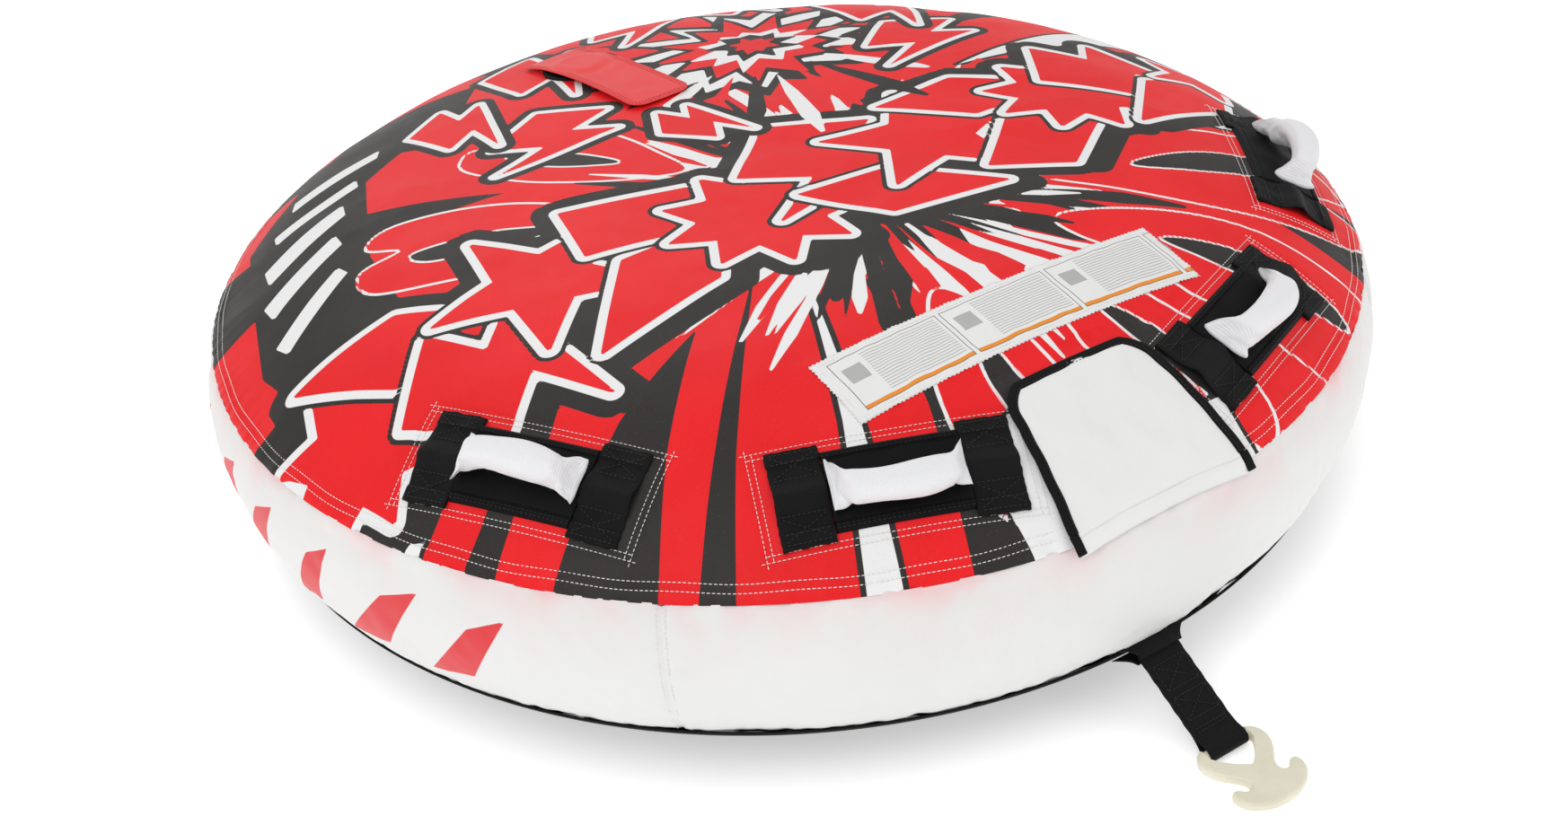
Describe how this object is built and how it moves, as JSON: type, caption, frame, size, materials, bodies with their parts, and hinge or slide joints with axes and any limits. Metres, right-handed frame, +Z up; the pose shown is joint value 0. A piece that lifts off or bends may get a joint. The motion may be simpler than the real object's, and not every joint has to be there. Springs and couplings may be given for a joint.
{
  "type": "towable tube",
  "caption": "Round covered inflatable tube for one rider, towed behind a boat, with padded handles, valve flaps and a moulded tow connector.",
  "frame": {"origin": "on the floor under the centre of the round tube", "axes": "+Z up, -Y towards the tow point, +X to the right of a rider who faces the boat"},
  "size_m": [1.3798, 1.542, 0.3711],
  "materials": {
    "binding": "woven tape",
    "bottom_nylon": "black nylon",
    "core": "foam tube on a webbing core",
    "pvc": "welded PVC film",
    "deck_print": "printed nylon, semi-matt",
    "hook_loop": "hook and loop tape",
    "valve_plastic": "moulded",
    "valve_rubber": "moulded",
    "brass": "plated",
    "side_nylon": "coated white nylon, slightly translucent",
    "guard": "closed-cell foam with a fabric face",
    "patch": "heavy nylon backing",
    "label": "printed satin label",
    "sleeve": "white ribbed knit sleeve",
    "webbing": "ribbed 2 in polyester webbing",
    "connector_nylon": "moulded nylon, natural colour",
    "zip_coil": "moulded coil",
    "zip_metal": "painted zinc"
  },
  "bodies": {
    "cover": {"bottom_binding": "binding", "bottom_panel": "bottom_nylon", "deck_chamber": "pvc", "deck_panel": "deck_print", "deck_valve_flapper": "valve_rubber", "deck_valve_insert": "valve_plastic", "deck_valve_well": "pvc", "drain_grommets": "brass", "flap_hem": "side_nylon", "guard_inner_left": "guard", "guard_inner_right": "guard", "guard_outer_left": "guard", "guard_outer_right": "guard", "handle_backing_patches": "patch", "label": "label", "loop_strips": "hook_loop", "main_valve_flapper": "valve_rubber", "main_valve_insert": "valve_plastic", "main_valve_well": "pvc", "port_bindings": "side_nylon", "ring_chamber": "pvc", "seam_tape": "binding", "side_panel_back": "side_nylon", "side_panel_front": "side_nylon", "side_panel_left": "side_nylon", "side_panel_right": "side_nylon", "strap_inner_left_a": "webbing", "strap_inner_left_b": "webbing", "strap_inner_right_a": "webbing", "strap_inner_right_b": "webbing", "strap_outer_left_a": "webbing", "strap_outer_left_b": "webbing", "strap_outer_right_a": "webbing", "strap_outer_right_b": "webbing", "tow_patch": "patch", "tow_tab": "webbing", "zip_coils": "zip_coil", "zip_tapes": "binding"},
    "valve_flap": {"valve_flap": "side_nylon", "flap_binding": "binding", "flap_hook_strip": "hook_loop"},
    "deck_flap": {"deck_flap": "deck_print", "deck_flap_hem": "deck_print", "deck_flap_hook_strip": "hook_loop"},
    "grip_outer_left": {"sleeve_outer_left": "sleeve", "core_outer_left": "core"},
    "grip_inner_left": {"sleeve_inner_left": "sleeve", "core_inner_left": "core"},
    "grip_inner_right": {"sleeve_inner_right": "sleeve", "core_inner_right": "core"},
    "grip_outer_right": {"sleeve_outer_right": "sleeve", "core_outer_right": "core"},
    "tow_strap": {"tow_strap": "webbing"},
    "tow_connector": {"tow_connector": "connector_nylon"},
    "main_valve_collar": {"main_valve_collar": "valve_rubber"},
    "main_valve_cap": {"main_valve_cap": "valve_plastic"},
    "deck_valve_collar": {"deck_valve_collar": "valve_rubber"},
    "deck_valve_cap": {"deck_valve_cap": "valve_plastic"},
    "zip_slider": {"zip_slider": "zip_metal"},
    "zip_pull": {"zip_pull": "zip_metal"}
  },
  "joints": [
    {"name": "valve_flap_hinge", "type": "hinge", "parent": "cover", "child": "valve_flap", "pos_m": [0, -0.664, 0.26186], "axis": [1, 0, 0], "range_deg": [0, 150]},
    {"name": "deck_flap_hinge", "type": "hinge", "parent": "cover", "child": "deck_flap", "pos_m": [-0.06069, 0.46102, 0.35261], "axis": [-0.9914, -0.1305, 0], "range_deg": [0, 165]},
    {"name": "grip_outer_left_swing", "type": "hinge", "parent": "cover", "child": "grip_outer_left", "pos_m": [-0.49823, -0.31986, 0.31327], "axis": [0.5402, -0.8415, 0], "range_deg": [-55, 55]},
    {"name": "grip_inner_left_swing", "type": "hinge", "parent": "cover", "child": "grip_inner_left", "pos_m": [-0.22273, -0.54857, 0.31327], "axis": [0.9265, -0.3762, 0], "range_deg": [-91, 19]},
    {"name": "grip_inner_right_swing", "type": "hinge", "parent": "cover", "child": "grip_inner_right", "pos_m": [0.22273, -0.54857, 0.31327], "axis": [0.9265, 0.3762, 0], "range_deg": [-83, 27]},
    {"name": "grip_outer_right_swing", "type": "hinge", "parent": "cover", "child": "grip_outer_right", "pos_m": [0.49823, -0.31986, 0.31327], "axis": [0.5402, 0.8415, 0], "range_deg": [-83, 27]},
    {"name": "tow_strap_swing", "type": "hinge", "parent": "cover", "child": "tow_strap", "pos_m": [0, -0.6679, 0.06391], "axis": [1, 0, 0], "range_deg": [-55, 0]},
    {"name": "tow_connector_swing", "type": "hinge", "parent": "tow_strap", "child": "tow_connector", "pos_m": [0, -0.766, 0.0087], "axis": [1, 0, 0], "range_deg": [-60, 60]},
    {"name": "main_cap_lift", "type": "slide", "parent": "cover", "child": "main_valve_collar", "axis": [0, -0.4852, 0.8744], "range_m": [0, 0.003]},
    {"name": "main_cap_turn", "type": "hinge", "parent": "main_valve_collar", "child": "main_valve_cap", "pos_m": [0, -0.59757, 0.29457], "axis": [0, -0.4852, 0.8744], "range_deg": [0, 360]},
    {"name": "deck_cap_lift", "type": "slide", "parent": "cover", "child": "deck_valve_collar", "axis": [-0.0141, 0.1071, 0.9941], "range_m": [0, 0.003]},
    {"name": "deck_cap_turn", "type": "hinge", "parent": "deck_valve_collar", "child": "deck_valve_cap", "pos_m": [-0.05149, 0.39109, 0.35316], "axis": [-0.0141, 0.1071, 0.9941], "range_deg": [0, 360]},
    {"name": "zip_slide", "type": "hinge", "parent": "cover", "child": "zip_slider", "pos_m": [0, 0, 0], "axis": [0, 0, 1], "range_deg": [0, 117.2]},
    {"name": "zip_pull_swing", "type": "hinge", "parent": "zip_slider", "child": "zip_pull", "pos_m": [0.5253, 0.31813, 0.02236], "axis": [-0.518, 0.8554, 0], "range_deg": [-180, 0]}
  ],
  "couplings": [
    {"joint": "main_cap_lift", "follows": "main_cap_turn", "m_per_rad": 0.000477},
    {"joint": "deck_cap_lift", "follows": "deck_cap_turn", "m_per_rad": 0.000477}
  ]
}
